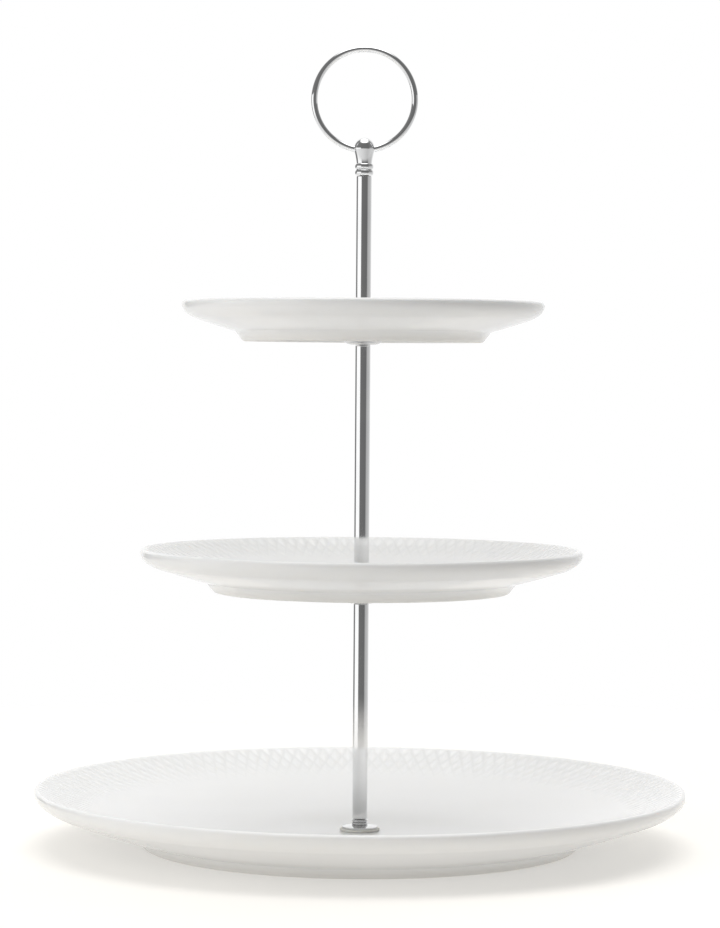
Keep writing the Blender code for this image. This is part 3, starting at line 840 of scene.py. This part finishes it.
# %% Ring
def ring_surface(name, centre_height, ring_radius, wire_radius, around=240, across=40):
    """A wire ring in the XZ plane.

    At the turn a along the ring and b round the wire the distance from the ring's centre is
    ring radius + wire radius cos b, x is that times sin a, z is that times cos a, and
    y = wire radius sin b."""
    a = (TAU * np.arange(around) / around)[:, None]
    b = (TAU * np.arange(across) / across)[None, :]
    reach = ring_radius + wire_radius * np.cos(b)
    y = np.broadcast_to(wire_radius * np.sin(b), (around, across))
    points = np.stack([reach * np.sin(a), y, centre_height + reach * np.cos(a)], axis=-1)
    index = np.arange(around * across).reshape(around, across)
    return put_mesh(name, points.reshape(-1, 3), grid_faces(index, True)[:, ::-1].tolist())


low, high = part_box("carry_ring")
wire_radius = high.y
ring_radius = (high.x - low.x) / 2 - wire_radius
ring_centre = (high.z + low.z) / 2
print(f"ring radius: {ring_radius / MM:.2f} mm, wire radius: {wire_radius / MM:.2f} mm")
ring = ring_surface("carry_ring_chrome", ring_centre, ring_radius, wire_radius)
finish_piece(ring, "carry_ring", "handle", CHROME_WIRE)

# %% [markdown]
# ## Finial
# The finial screws onto the handle rod. It is turned from one bar: two beads, a flared head and a
# domed top. Three curves and a bore on one profile make it, so it could also be drawn by hand for a
# Screw modifier, but here each curve meets the next exactly.

# %% Finial
FINIAL_BEAD, FINIAL_GROOVE, FINIAL_HEAD = 4.25 * MM, 3.4 * MM, 4.8 * MM
COLLAR_HEIGHT, FLARE_HEIGHT = 5.6 * MM, 6.6 * MM
FLARE_BEND_OUT, FLARE_BEND_DOWN = 0.25 * MM, 0.6
FINIAL_BORE_DEPTH = 8.5 * MM


def make_finial():
    """The finial before it is drilled: dome, flare, two beads, and a bore for its stud."""
    low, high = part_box("finial")
    rod_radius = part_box("handle_rod")[1].x
    neck = low.z + COLLAR_HEIGHT
    widest = low.z + COLLAR_HEIGHT + FLARE_HEIGHT
    angle = np.linspace(0.0, np.pi / 2, 25)
    dome_height = widest + (high.z - widest) * np.cos(angle)
    dome = np.stack([FINIAL_HEAD * np.sin(angle), dome_height], axis=-1)
    bend = (rod_radius + FLARE_BEND_OUT, widest - FLARE_BEND_DOWN * FLARE_HEIGHT)
    flare = curve((FINIAL_HEAD, widest), bend, (rod_radius, neck), 20)
    middle = low.z + COLLAR_HEIGHT / 2
    upper = bead(FINIAL_BEAD, FINIAL_GROOVE, middle, neck)
    lower = bead(FINIAL_BEAD, FINIAL_GROOVE, low.z, middle)
    bore_end = low.z + FINIAL_BORE_DEPTH
    bore = [(ROD_BORE, low.z), (ROD_BORE, bore_end), (0.0, bore_end)]
    profile = np.vstack([dome, flare[1:], upper, lower[1:], bore])
    return turned("finial_chrome", profile, closed=False)


finial = make_finial()

# %% [markdown]
# The ring passes through a cross hole in the finial's head. It is the one shape here that isn't
# turned, so no profile can hold it. A Boolean with a slightly thicker ring cuts it, and the result
# is kept as the mesh, so that no modifier is left on the piece.

# %% Cross hole
HOLE_GAP = 0.12 * MM
hole = ring_surface("cross_hole", ring_centre, ring_radius, wire_radius + HOLE_GAP)
cut = finial.modifiers.new("Cross hole", "BOOLEAN")
cut.object, cut.operation, cut.solver = hole, "DIFFERENCE", "EXACT"
bpy.context.view_layer.update()
drilled = finial.evaluated_get(bpy.context.evaluated_depsgraph_get())
finial_mesh = bpy.data.meshes.new_from_object(drilled)
finial.modifiers.clear()
finial.data = finial_mesh
bpy.data.objects.remove(hole)
finial.data.materials.clear()
finial.data.set_sharp_from_angle(angle=np.radians(35.0))
finish_piece(finial, "finial", "handle", CHROME)

# %% [markdown]
# ## Studio
# The stand is on a pale floor in a white room. A plain plane would show its edge, so the floor is a
# disc that fades out with distance. It glows faintly, as a white table does under a big cloth light,
# which keeps the contact shadow soft and pale.

# %% Floor
FLOOR_SIZE, FLOOR_DROP = 1.6, 0.1 * MM
FLOOR_SOLID, FLOOR_GONE = 0.24, 0.62
FLOOR_COLOURS = (0.58, 0.56, 0.52), (0.62, 0.60, 0.56)
FLOOR_GLOW = 0.38


def make_floor():
    """A disc of rings out to the floor's edge, with a matt finish that fades with distance."""
    radius = np.linspace(0.0, FLOOR_SIZE / 2, 12)
    profile = np.column_stack([radius, np.full(radius.shape, -FLOOR_DROP)])
    floor = turned("pale_floor", profile, columns=64, closed=False)
    material, tree, shader, place = new_finish("pale_floor")
    cloud = noise(tree, place, 6.0)
    tree.links.new(tint(tree, cloud, *FLOOR_COLOURS), shader.inputs["Base Color"])
    shader.inputs["Roughness"].default_value = 0.9
    shader.inputs["Emission Color"].default_value = (1.0, 1.0, 1.0, 1.0)
    shader.inputs["Emission Strength"].default_value = FLOOR_GLOW
    shader.inputs["Specular IOR Level"].default_value = 0.1
    distance = tree.nodes.new("ShaderNodeVectorMath")
    distance.operation = "LENGTH"
    tree.links.new(place, distance.inputs[0])
    fade = between(tree, distance.outputs["Value"], 1.0, 0.0, FLOOR_SOLID, FLOOR_GONE)
    tree.links.new(fade, shader.inputs["Alpha"])
    floor.data.materials.append(material)
    print(f"floor: {FLOOR_SIZE} m across, solid out to {FLOOR_SOLID} m")


make_floor()

# %% [markdown]
# Chrome only looks like chrome if part of the room is dark, because then it shows a bright band
# beside a dark one. Big white and black cards could stand round the stand. Here the room itself is
# painted by direction instead. Turned 0 degrees is the camera's side, 90 the right and -90 the left.
# The wall behind the stand is white, the left has a broad light card and the right a weaker one, the
# camera's side is dim, and the ceiling is brightest. The camera itself sees plain white.

# %% Room
CEILING = (3.0, 3.0, 3.0)
CEILING_EDGE = (0.82, 0.95)
HIGH_ROOM = [
    (-180, 1.0), (-150, 1.0), (-135, 0.25), (-36, 0.18),
    (50, 0.16), (120, 0.3), (140, 0.9), (180, 1.0),
]
LOW_TOP = (0.16, 0.18)
LOW_ROOM = [
    (-180, 1.0), (-158, 1.0), (-150, 0.2), (-108, 0.23), (-101, 1.2), (-42, 1.2), (-36, 0.18),
    (50, 0.16), (66, 0.5), (110, 0.6), (150, 0.9), (180, 1.0),
]
TABLE_TOP = (-0.26, -0.14)
TABLE = [(-180, 0.95), (-90, 0.92), (-20, 0.78), (40, 0.6), (90, 0.72), (180, 0.95)]


def ramp(tree, share, stops):
    """Grey levels by direction, from (degrees, level) stops round the full turn."""
    node = tree.nodes.new("ShaderNodeValToRGB")
    tree.links.new(share, node.inputs["Fac"])
    while len(node.color_ramp.elements) < len(stops):
        node.color_ramp.elements.new(0.5)
    for element, (degrees, level) in zip(node.color_ramp.elements, stops):
        element.position = (degrees + 180.0) / 360.0
        element.color = (level, level, level, 1.0)
    return node.outputs["Color"]


def room_turn(tree, axes):
    """The turn of a direction from the camera's side, as a share of the full circle."""
    towards = tree.nodes.new("ShaderNodeMath")
    towards.operation = "MULTIPLY"
    towards.inputs[1].default_value = -1.0
    tree.links.new(axes.outputs["Y"], towards.inputs[0])
    turn = tree.nodes.new("ShaderNodeMath")
    turn.operation = "ARCTAN2"
    tree.links.new(axes.outputs["X"], turn.inputs[0])
    tree.links.new(towards.outputs[0], turn.inputs[1])
    return between(tree, turn.outputs[0], 0.0, 1.0, -np.pi, np.pi)


def light_room():
    """The room's brightness by direction: table, low wall, high wall and ceiling, going up."""
    world = bpy.data.worlds.new("studio")
    bpy.context.scene.world = world
    world.use_nodes = True
    tree = world.node_tree
    tree.nodes.clear()
    direction = tree.nodes.new("ShaderNodeTexCoord").outputs["Generated"]
    axes = tree.nodes.new("ShaderNodeSeparateXYZ")
    tree.links.new(direction, axes.inputs["Vector"])
    share, up = room_turn(tree, axes), axes.outputs["Z"]
    low_room, high_room = ramp(tree, share, LOW_ROOM), ramp(tree, share, HIGH_ROOM)
    room = tint(tree, between(tree, up, 0.0, 1.0, *LOW_TOP), low_room, high_room)
    below = between(tree, up, 1.0, 0.0, *TABLE_TOP)
    room = tint(tree, below, room, ramp(tree, share, TABLE))
    room = tint(tree, between(tree, up, 0.0, 1.0, *CEILING_EDGE), room, CEILING)
    seen = tree.nodes.new("ShaderNodeLightPath").outputs["Is Camera Ray"]
    background = tree.nodes.new("ShaderNodeBackground")
    tree.links.new(tint(tree, seen, room, (1.0, 1.0, 1.0)), background.inputs["Color"])
    background.inputs["Strength"].default_value = 1.0
    output = tree.nodes.new("ShaderNodeOutputWorld")
    tree.links.new(background.outputs["Background"], output.inputs["Surface"])
    print("room walls:", len(LOW_ROOM), "stops low,", len(HIGH_ROOM), "stops high")


light_room()

# %% [markdown]
# Three soft cloth lights add to the room: from the left, from the front and from behind on the
# right. They brighten the porcelain only. If the chrome or the glaze mirrored them they would show
# as hard squares, so glossy rays pass them by.

# %% Soft lights
def soft_light(name, place, watts, size=1.2):
    """A square light aimed at the middle plate, unseen by the camera and by reflections."""
    lamp = bpy.data.lights.new(name, "AREA")
    lamp.energy, lamp.size = watts, size
    light = bpy.data.objects.new(name, lamp)
    bpy.context.scene.collection.objects.link(light)
    middle = Vector((0.0, 0.0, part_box("middle_plate")[0].z))
    light.location = place
    light.rotation_euler = (middle - Vector(place)).to_track_quat("-Z", "Y").to_euler()
    light.visible_glossy = False
    light.visible_camera = False
    print(f"{name}: {watts} W from {place}")


soft_light("left_light", (-1.3, -0.6, 0.9), 6.0)
soft_light("front_light", (-0.7, -1.4, 0.8), 3.5)
soft_light("back_light", (1.0, 0.9, 1.0), 4.0)
bpy.context.scene.view_settings.view_transform = "Standard"

# %% [markdown]
# ## Camera
# A long lens keeps the three plates' ellipses alike. It stands in front of the pole, a little above
# the middle plate's height, looks slightly down and leans by less than half a degree. It could be
# aimed with a Track To constraint, but two turns written out give exactly the same view every time.

# %% Camera
CAMERA_PLACE = (-1.0 * MM, -1422.8 * MM, 220.2 * MM)
CAMERA_DOWN, CAMERA_LEAN = 0.0312, 0.0069
LENS, SENSOR = 119.7, 36.0
camera = bpy.data.objects.new("camera", bpy.data.cameras.new("camera"))
bpy.context.scene.collection.objects.link(camera)
camera.data.lens, camera.data.sensor_width = LENS, SENSOR
aim = Matrix.Rotation(np.pi / 2 - CAMERA_DOWN, 4, "X") @ Matrix.Rotation(CAMERA_LEAN, 4, "Z")
camera.matrix_world = Matrix.Translation(CAMERA_PLACE) @ aim
bpy.context.scene.camera = camera
print(f"camera: {LENS} mm lens, {-CAMERA_PLACE[1]:.2f} m in front of the pole")
